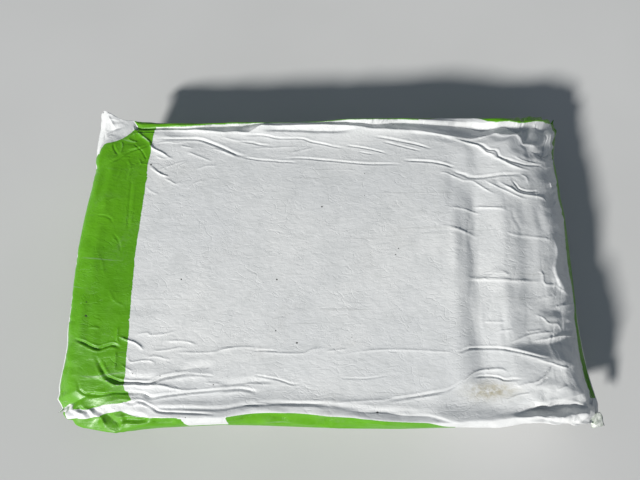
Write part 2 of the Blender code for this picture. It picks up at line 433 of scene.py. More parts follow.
# ------------------------------------------------------------------ film coordinates of pixels
class Film:
    """The fine film before its creases are laid on, and the lines of sight that meet it."""

    def __init__(self, fine, s, t):
        self.s, self.t = np.r_[s, AROUND], t
        rows, n = fine.shape[:2]
        self.p = fine.reshape(-1, 3) / 1000
        k = np.arange(n)
        r = np.arange(rows - 1)[:, None] * n
        a, b = r + k, r + (k + 1) % n
        quads = np.stack([a, b, b + n, a + n], -1).reshape(-1, 4)
        self.n = n
        self.quads = quads
        self.tree = BVHTree.FromPolygons(self.p.tolist(), quads.tolist())

    def at(self, px, py):
        """(s, t) where the line of sight through a pixel meets the film, or None."""
        u, w = (px - 320) / CAM_F, (py - 240) / CAM_F
        sn, cs = math.sin(CAM_DOWN), math.cos(CAM_DOWN)
        hit, _, i, _ = self.tree.ray_cast(CAM_AT, Vector((u, cs - w * sn, -sn - w * cs)).normalized())
        if hit is None:
            return None
        q = self.quads[i]
        k, r = int(q[0]) % self.n, int(q[0]) // self.n
        p = self.p[q]
        h = np.array(hit)
        e_s = (p[1] + p[2] - p[0] - p[3]) / 2
        e_t = (p[3] + p[2] - p[0] - p[1]) / 2
        base = p.mean(0)
        m = np.array([[e_s @ e_s, e_s @ e_t], [e_s @ e_t, e_t @ e_t]])
        f = np.linalg.solve(m, [e_s @ (h - base), e_t @ (h - base)]) + 0.5
        f = np.clip(f, 0, 1)
        return (
            self.s[k] + f[0] * (self.s[k + 1] - self.s[k]),
            self.t[r] + f[1] * (self.t[r + 1] - self.t[r]),
        )

    def line(self, pixels):
        """A polyline of pixels as a polyline on the film; s runs on below 0 where it passes the far crease."""
        out = []
        for px, py in pixels:
            q = self.at(px, py)
            if q is not None:
                s = q[0] - AROUND if q[0] > AROUND - GUSSET else q[0]
                out.append((s, q[1]))
        return np.array(out)


def resampled(line, per=4):
    """A polyline with a smooth curve through its points."""
    line = np.asarray(line, float)
    if len(line) < 3:
        return line
    at = np.linspace(0, len(line) - 1, (len(line) - 1) * per + 1)
    return cubic(line, at, 0, False)


def ease(x):
    x = np.clip(x, 0, 1)
    return x * x * (3 - 2 * x)


# ------------------------------------------------------------------ folds
class Relief:
    """Height laid on the film along its normals, in mm. s runs from below 0 in the far gusset to the underside."""

    def __init__(self, s, t):
        self.s = np.where(s > AROUND - GUSSET, s - AROUND, s)
        self.t = t
        self.h = np.zeros((len(t), len(s)))

    def grid(self):
        return np.meshgrid(self.s, self.t)

    def fold(self, line, kind, height, width, ends=0.22):
        """A fold along a line. Kinds: r ridge, v valley, k ridge and w valley steep on the far side only, f step."""
        line = resampled(line)
        reach = width * (9 if kind in "fkw" else 4.5)
        cols = np.nonzero((self.s > line[:, 0].min() - reach) & (self.s < line[:, 0].max() + reach))[0]
        rows = np.nonzero((self.t > line[:, 1].min() - reach) & (self.t < line[:, 1].max() + reach))[0]
        if not len(cols) or not len(rows):
            return
        ss, tt = np.meshgrid(self.s[cols], self.t[rows])
        step = np.diff(line, axis=0)
        size = np.hypot(step[:, 0], step[:, 1])
        run = np.r_[0, np.cumsum(size)]
        best, along, side = np.full(ss.shape, 1e9), np.zeros(ss.shape), np.zeros(ss.shape)
        for a, d, l, r0 in zip(line[:-1], step, size, run[:-1]):
            if l < 1e-6:
                continue
            f = np.clip(((ss - a[0]) * d[0] + (tt - a[1]) * d[1]) / l**2, 0, 1)
            es, et = ss - a[0] - f * d[0], tt - a[1] - f * d[1]
            far = np.hypot(es, et)
            nearer = far < best
            best[nearer] = far[nearer]
            along[nearer] = (r0 + f * l)[nearer]
            side[nearer] = np.sign(d[0] * et - d[1] * es)[nearer]
        total = run[-1]
        fade = ease(along / (ends * total)) * ease((total - along) / (ends * total))
        x = best / width
        if kind == "r":
            shape = np.exp(-(x**1.15))
        elif kind == "v":
            shape = -np.exp(-(x**1.15)) + 0.35 * np.exp(-((x - 2.2) ** 2))
        elif kind == "k":
            shape = np.where(side > 0, np.exp(-x * 1.6), np.exp(-x * 0.55))
        elif kind == "w":
            shape = -np.where(side > 0, np.clip(1 - x / 2.2, 0, 1), np.clip(1 - x / 6.5, 0, 1)) ** 1.15
        else:
            shape = 0.5 * side * (1 - np.exp(-x)) * np.exp(-x / 7)
        self.h[np.ix_(rows, cols)] += height * shape * fade

    def crumple(self, seed, region, spacing, stretch, height, power=1.0):
        """Flat facets between sharp creases: heights at scattered places, joined by a triangulation."""
        rng = np.random.default_rng(seed)
        s0, s1, t0, t1 = region
        ns, nt = max(3, int((s1 - s0) / spacing)), max(3, int((t1 - t0) / spacing / stretch))
        i, j = np.meshgrid(np.arange(ns + 1), np.arange(nt + 1))
        shift = rng.uniform(-0.48, 0.48, (2,) + i.shape)
        inner = (i > 0) & (i < ns) & (j > 0) & (j < nt)
        u = (i + shift[0] * inner + 0.5 * (j % 2) * inner) / ns * (s1 - s0) + s0
        v = (j + shift[1] * inner) / nt * (t1 - t0) / stretch
        z = rng.uniform(-1, 1, i.shape)
        z = np.sign(z) * np.abs(z) ** power * inner
        points = [Vector(p) for p in zip(u.ravel(), v.ravel())]
        made = delaunay_2d_cdt(points, [], [], 0, 1e-5)
        zs = z.ravel()
        verts = [(p.x, p.y, zs[o[0]] if o else 0.0) for p, o in zip(made[0], made[3])]
        tree = BVHTree.FromPolygons(verts, [tuple(f) for f in made[2]])
        cols = np.nonzero((self.s > s0) & (self.s < s1))[0]
        rows = np.nonzero((self.t > t0) & (self.t < t1))[0]
        down = Vector((0, 0, -1))
        for r in rows:
            for c in cols:
                size = height(self.s[c], self.t[r])
                if size > 0.02:
                    hit = tree.ray_cast(Vector((self.s[c], (self.t[r] - t0) / stretch, 9.0)), down)[0]
                    if hit is not None:
                        self.h[r, c] += size * hit.z


# Each fold: kind, height and width in mm, and its course in the photograph's pixels.
FOLDS = """
v 1.3 2.3 106.7,164.5 117,158 128,150.6 137.5,147 146,144.5 150,143.3
r 2.2 2.2 126,139 130,134.5 137.6,132.4 144.8,137.3 149.7,142 152,147 163,153 169,157 176,159.7
r 1.3 1.7 126,136 132.7,139.7 137.6,141
r 1.1 1.6 139,133.6 147,133 155.7,133
v 1.1 1.8 111.5,142 112,148 117,154.8
r 1.2 1.8 118,139.7 120.6,144.5 119.4,151.8 116.3,155.4
r 1.2 2.0 155,143.3 166.6,142 176,142.7 188,141.5
v 1.7 2.6 153,138 169,138.5 187,138.5 199,139 211.5,143.3 223.6,148.2 234.5,153.6 252,158
r 1.0 1.6 180,145.7 187,147 194,148.2
r 1.1 1.7 186,151 199.4,156.6 213,161.8
r 1.0 1.8 210,148 223.6,151.8 237,157
r 0.9 2.0 222,136.5 235.7,140.3 251,142
r 1.1 1.6 148.5,166.3 157,172.4 163,175.4 170,176.6
r 0.8 1.5 138,163.3 148,164
r 0.7 1.5 174,168 188.4,161.5
r 0.9 1.5 131,169 137.6,162.7
v 0.9 1.7 96,215 108.5,217 113,223.5
v 0.6 1.5 131,175 129.5,200 127,234
r 0.5 1.4 134.5,180 133,205 130.5,230
w 3.4 1.5 358,128.2 349,129.6 338,130.3 324,130.2 310,129.9 296,129.3 284,129.1 270,129.3 258,129.8
r 1.2 1.5 521,119 519,124 516,129.5
r 1.0 1.5 533,120 534,124 531,129
v 1.2 1.7 238,134.2 254,135 268,136 278.6,138.2 301.7,138.5 310,141.3 324,144 335,146.6 352,150
v 1.1 1.7 238,141 250.5,142.4 261,144.8 271,145.6
r 0.7 1.7 248,146.6 257.5,148.7 282,147.3 300,147
r 0.8 1.7 290,153.2 306.6,149.4 315,147
v 1.1 1.7 240,157 261,160 275,161 289,162 301,162.8
v 1.2 1.8 277,159 299.6,158 324,160 350,162.4 373,164 395.5,164 406,166.5
v 1.8 2.0 402,160.2 425.7,161.3 436,162.4 446.7,164.8 457,168.2
v 1.3 1.9 371,135.7 394,139.6 415,143.8 434,149.4
v 1.0 1.6 381,141.4 401,146 423,151.2
v 1.1 1.6 343,144.8 366,148.3 389,154
v 0.8 1.5 358,151.6 374,154.2
r 1.0 1.6 439,172.3 447,173.2 457,177.5
v 1.0 3.2 405,132.4 436,134.7 450,139 458,140.8
r 0.9 2.0 478,132 498.5,135.4 516.6,136.7 530,140.2
r 2.4 2.2 448,136.8 462,141.5 474,145 482.7,149.4 490,154 498.5,159 505.7,162.7 518,167.5 531,170.6
v 1.6 2.0 464,140.4 480,144 490,149.4 498.5,155.4 508,159.7 518,162.7 527.6,165 539.7,165.7 546,169.5
r 1.3 1.8 509,154 522.7,160.3 534.8,164 546,168
v 1.4 2.4 448,166.5 457,172.4 468,176.6 482.7,177.2 498.5,174.8 513,174.2 525,173.3
r 1.3 1.9 448,172.6 459.7,179 471.8,181 480,185.7 490,191.8 498,194.7
r 1.2 1.9 483,178.7 494.8,185.7 508,191.8 518,196.6 530,199.5
r 2.1 2.1 496,179.5 508,187 518,193 528.8,195.4 537,196.6 544.5,199 548,203.5
v 1.6 1.9 511,178 516.6,185.7 520,189.4 530,191.8 539,190.4
r 1.1 1.5 520,174 526,177.2 528,183
v 1.6 2.2 543,131 544.5,144.5 542.7,153 541,161.5
r 1.4 2.4 549,134 550,146 549,158
r 1.3 1.4 548.5,181 550,184 552,188
r 0.8 1.8 471,206.8 490,207.6 512,208.2
r 0.9 1.7 448,226.5 461,230.6 468,233
r 1.1 1.7 447.6,206.7 462,208.7 473.5,212.5 483,214.6
r 0.9 1.6 473,206.7 497,208 509,210.6
r 1.1 1.7 438,225.2 449.6,226.4 459,229.7 468.7,233.5 481,237.8
r 1.3 1.8 503,230.2 514.6,234.5 526,236 540,237.8 553,240
r 1.2 1.6 552,231.6 559,235 567,238.2
r 1.7 1.9 464,277.8 488,279 511.7,280.4 526,281 544,281.2
r 1.0 1.6 466,277.3 478,279 488,277 493.6,274 499,273 506,274 512,278.6
r 0.9 1.5 487,272.3 493.6,271 502,271 512.5,276.6
r 1.6 1.9 537,270 543,274 544,282 550,285 561,283
f 2.2 2.2 553,237 556.7,257 555,271 560.5,286 573,299
r 1.4 1.8 556,285 564,291 573,299.5
r 1.2 1.7 532,314 543,317 550,323 559,324 563.5,330
r 1.0 1.8 534,300.6 545,297.5 557,294.6
k 1.6 2.2 546,309.2 560,305.5 575,302.6
r 0.8 1.7 483,321.4 495,321.8 507,322.1
r 0.9 1.6 499,330.8 506,330.4 514,329.5
v 2.1 2.4 71,338.2 81.5,341.8 90,346 98.5,348.5 104.5,346.7 113,344.8 122,349
r 1.1 1.8 88,327 94,327.2 100,328.2
r 1.9 2.0 117,335.6 127.6,340 134.8,342.4 139.7,346 144.3,351.3
r 1.1 1.6 118,326 117,337.6 119.5,343.5
r 1.2 1.7 116,350 115.4,360.6 113.8,371.5
v 2.4 2.6 94,352.5 98.5,363 102,370 108,377.6 115.4,381 124,382.4 144.5,383.6 153,382.4 159,378.8 171,376.3 185.7,374 197,374
r 1.7 1.9 93.5,371.5 102,378.8 110.6,383.6 127.6,384.8 159,385.4 171,388 183,389.7 194,389.7 207,386.7
v 1.8 2.1 74,371 76.7,382.4 80,391 86.4,394.5 98.5,395 125,393.3 139.7,393.3 147,397 153,397.5 165,395.7 183,393.3 207.5,391 225.7,389 242,386.3
v 1.4 1.9 108.5,402.3 127.6,403 137,401.8 144.5,403.6 153,407.8 159,411.5 177,412.7 207.5,414 221,415.8
r 0.9 1.6 133,335.3 147,332.7 150.6,335 165,334 178.5,329.7
r 0.9 1.7 162.5,341 183,341 193,343.6 199.5,346.6
r 0.9 1.6 151.5,351 165,350.3 177,348 187,347
r 0.9 1.7 173,351.8 195,352.7 213.6,352 225.7,349 242,347
r 1.2 1.6 126.6,354 130,361.8 141,360.6 149.4,360.6 156.5,364
r 0.8 1.4 146,360 151.8,356.3 159,357 172,359.6
r 0.9 1.4 120.5,364.3 127.6,369 133.4,371.4
v 0.9 3.0 174,371.8 195,368 215,366.4
v 0.7 1.6 188,373.8 200,375 215,376.4
r 0.7 1.5 203,382.3 211,383 221,383.7
r 0.9 1.8 218,349.9 236,347.2 259.5,347.7
v 0.8 1.6 251,351 264,350.4 278,351
r 0.9 1.7 262.6,352.8 300,353.6 312,349.6 328,347.2
r 0.7 1.5 325,351.2 336,350.2 347,348.8
v 0.9 1.7 252,374.7 264,376.7 276,379 284,381.5 292,384 302,384.2
v 1.0 3.0 218,383.8 232,384.6 252,382 268,381.5 274,382.2
r 0.8 1.8 242,384 258,384.2 274,384.4
v 1.5 2.6 218,390.8 236,389 252,391 257,393
v 0.9 1.5 242.5,405.3 251,405.6 259.5,406.1
r 0.8 1.5 253,402.8 262,403.4 271,404.2
v 1.1 2.6 275,404 300,404 322,404 347,404
r 0.9 1.8 345,353.9 360,351.6 376,350 400,349.6 420,350.4 444,351.6 467,352.1
v 0.5 1.4 338,378.3 354,378.4 368,378.3 391,374.8
v 1.4 2.2 382.6,400.9 412,397 428,394 450,389.7
v 1.2 1.9 445,391.8 455.6,386 467,379.3
r 0.9 2.6 300,407 330,404 361,401 392,399 422,397 453,391
v 1.6 1.9 448,352 462,351.5 469.4,348.5 486.4,348 502,348.5 516.6,351 527.6,353.3 534.8,355 544.5,357 557,358.5
r 2.1 2.2 530,342.1 542,339.4 556.6,336.4 565,335 572.4,336.4 580,341
r 1.5 1.7 537,358.9 553,362.4 562.7,365.4 572.5,367.4
r 1.4 1.7 554,364 547,372.7 539,383.6
r 1.4 2.1 508.5,344.4 525,336.4 541,332.7 556,331.9
r 0.9 1.6 526,331.7 534,330.7 543.5,329.5
r 2.0 2.2 448,390.8 462,382.4 470.6,375 476.7,371.5 486.4,369.7 498.5,369 504.5,370.3 510,375
v 1.3 1.8 472,377.8 486.4,376.3 498.5,377.6 504.5,380 514,379.4 524.5,380.1
r 1.1 1.6 516,386.4 528.8,383.6 537.5,383.6
r 2.6 2.8 522,414.5 532,409 542,403.8 553,399.6 565,398.6 577,400 590,405.2
w 1.7 1.2 336,409 360,411.5 384,411.7 404,415 428,416 446,421 466,424.5
w 2.2 1.3 104,393.8 120,393.6 139.7,393.8 148,397 156,402
r 1.2 1.6 571.5,419.3 575.5,417 579.5,414.5
r 1.0 1.6 557.5,390.3 564,387 570,384.4
v 0.45 4.2 448,176 450.5,196 446,218 449,240 447,262 452,280
v 0.55 4.2 467,180 472.5,205 468,232 474,262 470,300 476,335 474,368
v 0.5 5.0 507,166 504,195 511,225 507,260 514,292 512,318
v 0.35 5.6 528,228 534,252 531,276 537,300 536,336
v 1.7 2.6 66,408 72,413 78,418.5
r 1.8 2.4 72,406.5 79,412 86,418.5
v 2.0 2.8 77,406 85,411.5 92,418.5
r 1.7 2.2 84,406.5 92,412 99,418
v 1.6 2.4 90,407 97,411.5 104,416
r 2.4 2.6 96,414 102,419 107,427
v 2.6 3.0 102,414.5 110,419.5 116,424 122,428
r 2.2 2.6 110,413.5 118,417.5 128,417 143,418.5
v 2.4 3.0 120,422 130,420.5 140,420.5 150,419
r 1.6 2.2 116,428 126,424.5 138,424 152,422
r 1.7 1.8 553,366 547,373.5 539,381 532,384
v 1.2 1.8 549,376 543,382 536,386
r 1.3 2.0 505,402 513,397.5 524,394.5 533,391
r 0.9 1.5 136,156 140,164 134,172 126,180
r 0.8 1.4 126,158 130,169 127,181
r 1.0 1.5 148,164 154,169 160,174 170,177
r 0.8 1.5 156,171 166,166.5 179,162.5 190,160.5
r 0.9 1.5 163,178 170,181 176,184 183,180
r 0.8 1.5 112,184 118,176 122,168
v 0.9 1.5 132,141 139,148 143,154 146,161
r 1.0 1.5 154,154 163,158 173,157
r 0.8 1.4 196,170 206,166 218,166
r 0.8 1.4 146,186 152,192 160,194
r 0.7 1.4 186,190 194,183 205,180
r 0.8 1.5 104,206 109,200 117,197
v 0.8 1.4 112,232 118,240 121,252
r 0.7 1.4 96,250 102,262 104,276
r 0.8 1.5 108,288 114,300 124,306
v 1.9 3.2 236,419.5 254,416 274,416.5 292,420
r 1.9 3.0 256,422.5 276,419.5 298,422 322,424
v 1.4 3.0 318,420 344,420.5 372,423
r 1.3 3.0 345,424 372,422.5 396,425
v 1.6 3.0 150,420.5 162,423 176,421.5
"""


def drawn_folds(relief, film):
    for row in FOLDS.split("\n"):
        words = row.split()
        if not words:
            continue
        line = film.line([tuple(float(v) for v in w.split(",")) for w in words[3:]])
        if len(line) > 1:
            broad = float(words[2]) > 2.9 or words[0] in "wf"
            relief.fold(line, words[0], float(words[1]) * (1.0 if broad else 0.72), float(words[2]) * (1.0 if broad else 0.50))


# The far crease stands as a rim behind the shoulder: t, width and height of its face, width and depth of the slope before it.
RIM = [
    (100, 1.0, 1.6, 4.5, 3.9), (125, 1.1, 1.9, 4.7, 4.2), (142, 1.1, 2.6, 4.7, 4.0), (160, 1.1, 2.6, 5.5, 4.4),
    (178, 1.2, 3.4, 8.7, 6.6), (190, 1.4, 3.8, 11.0, 8.3), (202, 1.5, 4.2, 11.5, 8.8), (215, 1.1, 1.8, 14.5, 10.6),
    (221, 1.0, 1.0, 12.0, 9.0), (229, 1.0, 0.6, 5.0, 4.2), (266, 1.0, 0.1, 5.0, 4.2), (278, 1.0, 0.8, 5.0, 4.2),
    (290, 1.1, 1.1, 5.2, 4.3), (302, 1.4, 2.7, 6.3, 5.0), (314, 1.8, 3.8, 7.0, 5.5), (327, 2.6, 5.1, 6.5, 5.2),
    (340, 3.8, 6.3, 7.5, 6.0), (352, 3.0, 5.4, 9.2, 7.4), (365, 2.2, 4.7, 12.2, 9.7), (376, 2.0, 4.3, 12.8, 10.2),
    (389, 2.0, 4.3, 13.3, 10.5), (402, 2.0, 4.5, 15.1, 11.9), (415, 2.0, 4.1, 17.2, 13.5), (428, 2.0, 4.0, 18.8, 14.7),
    (441, 2.2, 4.4, 19.0, 14.7), (454, 3.2, 5.1, 16.5, 12.6), (466, 4.6, 5.7, 14.5, 11.2), (483, 5.6, 5.9, 15.5, 11.6),
    (499, 6.5, 6.7, 14.0, 10.4), (515, 5.5, 5.6, 16.0, 11.0), (533, 4.5, 4.5, 13.0, 8.4), (560, 3.0, 1.6, 8.0, 4.0),
]


def far_rim(relief):
    """Shifts (y, z) in mm that turn the far shoulder into a slope with the pressed crease standing at its foot."""
    ss, tt = relief.grid()
    run = ease((tt - 64) / 28) * ease((LENGTH - 14 - tt) / 26)
    foot, rise, wide, deep = (np.interp(tt, [r[0] for r in RIM], [r[k] for r in RIM]) for k in (1, 2, 3, 4))
    rise = rise * (1 + 0.05 * np.sin(tt / 11.0) + 0.04 * np.sin(tt / 4.7 + 2))
    wide = wide * (1 + 0.04 * np.sin(tt / 13.0))
    slope = (1 - np.clip((ss - foot) / wide, 0, 1)) * deep
    face = deep - rise * np.clip(1 - ss / foot, 0, 1)
    behind = (deep - rise) * np.clip(1 - (2 * ss / GUSSET) ** 2, 0, 1) + 0.35 * rise * (1 - np.exp(ss / 3.5)) * np.exp(ss / 20)
    down = np.where(ss > foot, slope, np.where(ss > 0, face, behind))
    lip = 0.55 * np.exp(-(((ss - foot - wide - 0.8) / 1.3) ** 2)) * (ss > 0)
    out = (0.6 + 0.12 * rise) * np.where(ss < 0, np.clip(1 + ss / 7, 0, 1), np.clip(1 - ss / foot, 0, 1))
    near = (ss < 40) & (ss > -GUSSET / 2)
    return out * run * near, (lip - down) * run * near


# Broad facets: how steeply the film falls to the back and to the right, softness of the border in mm, corners in pixels.
FACETS = """
0.34 0.16 5 476,131 500,131 545,133 546,158 533,160 512,152 490,142
0.10 0.22 4 465,147 474,150 476,172 468,174
0.62 0.18 2.5 511,347 518,343 560,343 580,346 584,354 576,363 556,360 530,354
0.14 0.50 3 556,240 566,242 576,300 570,303 559,282 555,262
0.50 0.30 2.5 543,311 560,307 577,305 579,312 562,317 546,317
0.02 0.14 9 510,205 556,212 562,300 560,345 515,345 508,290
0.00 0.22 5 545,212 560,215 566,245 556,245
0.10 0.10 5 448,128 472,129 470,150 452,146
0.20 0.05 6 452,408 470,402 490,404 496,414 488,423 455,425
0.05 0.34 5 563,362 583,352 592,398 572,400
0.02 0.30 4 453,188 475,188 480,300 482,384 460,384 456,300
0.00 0.17 2.2 444,158 450,158 453,236 447,236
0.00 0.20 2.0 452,208 459,208 462,262 455,262
0.00 0.20 2.0 465,196 474,196 477,300 467,300
0.02 0.20 3 467,338 486,340 489,384 469,384
0.02 0.27 3.5 503,196 522,200 526,280 530,338 512,340 505,280
0.00 -0.10 3 528,238 541,236 545,300 532,300
0.14 0.28 4 513,354 530,362 562,362 566,384 548,384 517,379
0.14 0.18 3 488,137 520,139 528,150 532,166 494,168 490,150
0.12 0.12 2.5 495,150 517,150 521,160 497,160
0.42 0.00 1.8 468,127 494,126 494,133 472,133
0.22 0.06 2.5 163,129 190,131 192,139 167,139
"""


def dented(relief, film):
    """Heights in mm that give the facets their slopes; the film round about rises or falls to meet them."""
    s, t = np.arange(-60, 391, 2.0), np.arange(-10, 597, 2.5)
    ss, tt = np.meshgrid(s, t)
    to_near, to_right = np.zeros(ss.shape), np.zeros(ss.shape)
    for row in FACETS.split("\n"):
        words = row.split()
        if words:
            back, right, soft = (float(w) for w in words[:3])
            corners = film.line([tuple(float(v) for v in w.split(",")) for w in words[3:]])
            share = ease(0.5 + polygon_distance(corners, ss, tt) / (2 * soft))
            to_near += back * share
            to_right -= right * share
    load = np.gradient(to_near, s, axis=1) + np.gradient(to_right, t, axis=0)
    waves, bends = [], []
    for n, step in ((len(t), 2.5), (len(s), 2.0)):
        k = np.arange(1, n + 1)
        waves.append(np.sqrt(2 / (n + 1)) * np.sin(math.pi * np.outer(k, k) / (n + 1)))
        bends.append((2 - 2 * np.cos(math.pi * k / (n + 1))) / step**2)
    spectrum = waves[0] @ load @ waves[1] / -(bends[0][:, None] + bends[1][None, :] + 1 / 28.0**2)
    h = waves[0] @ spectrum @ waves[1]
    h = cubic(h, (relief.t - t[0]) / 2.5, 0, False)
    h = cubic(h, np.clip((relief.s - s[0]) / 2.0, 0, len(s) - 1.001), 1, False)
    ss, tt = relief.grid()
    return h * ease((ss + 2) / 4) * ease((PANEL + 2 - ss) / 4) * ease((LENGTH - 2 - tt) / 12)


# The pleat along the near right ear: its bottom and its crest in pixels.
PLEAT_BOTTOM = [(498, 422), (514, 416), (527, 411.5), (540, 408.3), (560, 406.3), (572, 405), (580, 405), (588, 405)]
PLEAT_CREST = [(498, 424), (520, 420), (540, 418), (560, 415.7), (572, 413.8), (580, 413), (588, 411.5)]


def ear_pleat(relief, film):
    """Heights in mm of the pleat that lies along the near right ear, inside its crease."""
    bottom, crest = film.line(PLEAT_BOTTOM), film.line(PLEAT_CREST)
    h = np.zeros(relief.h.shape)
    for r, at in enumerate(relief.t):
        run = ease((at - 452) / 34) * ease((LENGTH - 1 - at) / 14)
        if run > 0:
            low = float(np.interp(at, bottom[:, 1], bottom[:, 0]))
            high = max(low + 6.0, float(np.interp(at, crest[:, 1], crest[:, 0])))
            knots = [low - 20, low - 9, low - 1.2, low + 1.2, high - 1.2, high + 1.2, max(PANEL, high + 3)]
            half = min(max(0.58 * (high - low), 4.6), 8.0)
            h[r] = run * np.interp(relief.s, knots, [0, 0.8, -half, -half, half - 0.4, half - 0.4, 0])
    return h * (relief.s > 0)


def rims(relief):
    """The tube's pressed creases, which stand as rims along the panels' edges."""
    ss, tt = relief.grid()
    wave = 1 + 0.14 * np.sin(tt / 23.0) + 0.10 * np.sin(tt / 9.1 + 1.0)
    near = ss - PANEL
    run = ease((tt - 120) / 40) * ease((LENGTH - 60 - tt) / 60)
    relief.h += run * wave * 1.3 * np.exp(-((np.abs(near) / 2.8) ** 1.3))
    relief.h -= run * ease((400 - tt) / 40) * 1.1 * np.exp(-(((near + 9.0) / 2.2) ** 2))
    for crease, size in ((PANEL + GUSSET, 1.2), (-GUSSET, 1.2)):
        run = ease((tt - 70) / 60) * ease((LENGTH - 70 - tt) / 60)
        relief.h += run * size * np.exp(-((np.abs(ss - crease) / 2.4) ** 1.3))
    for crease in (PANEL + GUSSET / 2, -GUSSET / 2):
        run = ease((tt - 60) / 70) * ease((LENGTH - 60 - tt) / 70)
        relief.h -= run * wave * 1.6 * np.exp(-((np.abs(ss - crease) / 1.8) ** 1.2))


def loose_film(relief):
    """Small facets and folds everywhere: slack film at the corners and ends, taut in the middle."""

    def panel_size(s, t):
        e = min(t, LENGTH - t)
        edge = min(s, PANEL - s)
        if edge < 0:
            return 0.0
        corner = math.exp(-((e / 75) ** 2) - (edge / 60) ** 2)
        end = math.exp(-((e / 55) ** 2))
        side = math.exp(-((edge / 26) ** 2))
        calm = 1 - 0.7 * math.exp(-(((s - 318) / 18) ** 2) - ((t - 540) / 40) ** 2)
        slack = 0.12 * min(1, max(0, (t - 415) / 60))
        return (0.08 + slack + 0.60 * corner + 0.36 * end + 0.16 * side) * min(1, e / 8) * min(1, 0.25 + s / 18) * calm

    def gusset_size(s, t):
        e = min(t, LENGTH - t)
        g = -s if s < 0 else s - PANEL
        if g < 0 or g > GUSSET:
            return 0.0
        calm = 0.35 if t > 440 else 1.0
        return calm * (0.30 + 0.9 * math.exp(-((e / 90) ** 2))) * min(1, max(0, (e - 12) / 30)) * min(1, g / 9)

    relief.crumple(11, (0, PANEL, 0, LENGTH), 13.0, 2.1, panel_size, 0.8)
    relief.crumple(12, (0, PANEL, 0, LENGTH), 6.0, 1.5, lambda s, t: 0.42 * panel_size(s, t), 0.7)
    relief.crumple(13, (PANEL, PANEL + GUSSET, 0, LENGTH), 9.0, 3.0, gusset_size, 0.8)
    relief.crumple(14, (-GUSSET, 0, 0, LENGTH), 9.0, 3.0, gusset_size, 0.8)
    rng = np.random.default_rng(5)
    for end in (0, 1):
        for _ in range(46):  # short pleats that run in from the welds
            s0, t0 = rng.uniform(4, PANEL - 4), rng.uniform(4, 26)
            l, lean = rng.uniform(16, 48), rng.normal(0, 0.22)
            line = [(s0, t0), (s0 + lean * l * 0.5 + rng.normal(0, 1), t0 + l * 0.5), (s0 + lean * l, t0 + l)]
            line = [(a, LENGTH - b if end else b) for a, b in line]
            relief.fold(line, "r" if rng.random() < 0.55 else "v", rng.uniform(0.4, 1.3), rng.uniform(1.3, 2.4), 0.35)
    for _ in range(44):  # soft upright streaks where the filling thins out to the right
        s0, t0, l = rng.uniform(58, 262), rng.uniform(432, 540), rng.uniform(14, 60)
        bow, lean = rng.normal(0, 2.2), rng.normal(0, 0.10)
        line = [(s0, t0), (s0 + l * 0.33, t0 + bow), (s0 + l * 0.66, t0 + lean * l - bow * 0.6), (s0 + l, t0 + lean * l)]
        relief.fold(line, "r" if rng.random() < 0.4 else "v", rng.uniform(0.14, 0.42), rng.uniform(1.3, 3.2), 0.4)
    for _ in range(60):  # long soft creases along the gussets
        far = rng.random() < 0.5
        g, t0, l = rng.uniform(6, GUSSET - 6), rng.uniform(50, LENGTH - 130), rng.uniform(35, 110)
        g2 = g + rng.normal(0, 4)
        line = [(g, t0), ((g + g2) / 2 + rng.normal(0, 1), t0 + l / 2), (g2, t0 + l)]
        line = [(-a if far else PANEL + a, b) for a, b in line]
        relief.fold(line, "r" if rng.random() < 0.5 else "v", rng.uniform(0.5, 1.3), rng.uniform(1.6, 3.0), 0.35)
    for _ in range(22):  # soft sags of the underside between its rims
        s0, t0, l = PANEL + GUSSET + rng.uniform(8, 40), rng.uniform(40, LENGTH - 100), rng.uniform(30, 70)
        if rng.random() < 0.5:
            s0 = 3 * PANEL + 2 * GUSSET - s0
        relief.fold([(s0, t0), (s0 + rng.normal(0, 3), t0 + l)], "v", rng.uniform(0.3, 0.7), 4.0, 0.35)


# ------------------------------------------------------------------ print
def polygon_distance(poly, ss, tt):
    """Distance to a polygon's border in mm, positive inside."""
    poly = np.asarray(poly, float)
    best, inside = np.full(ss.shape, 1e9), np.zeros(ss.shape, bool)
    for a, b in zip(poly, np.roll(poly, -1, 0)):
        d = b - a
        l2 = d @ d
        if l2 < 1e-9:
            continue
        f = np.clip(((ss - a[0]) * d[0] + (tt - a[1]) * d[1]) / l2, 0, 1)
        best = np.minimum(best, np.hypot(ss - a[0] - f * d[0], tt - a[1] - f * d[1]))
        if a[1] != b[1]:
            crosses = ((a[1] > tt) != (b[1] > tt)) & (ss < d[0] * (tt - a[1]) / d[1] + a[0])
            inside ^= crosses
    return np.where(inside, best, -best)


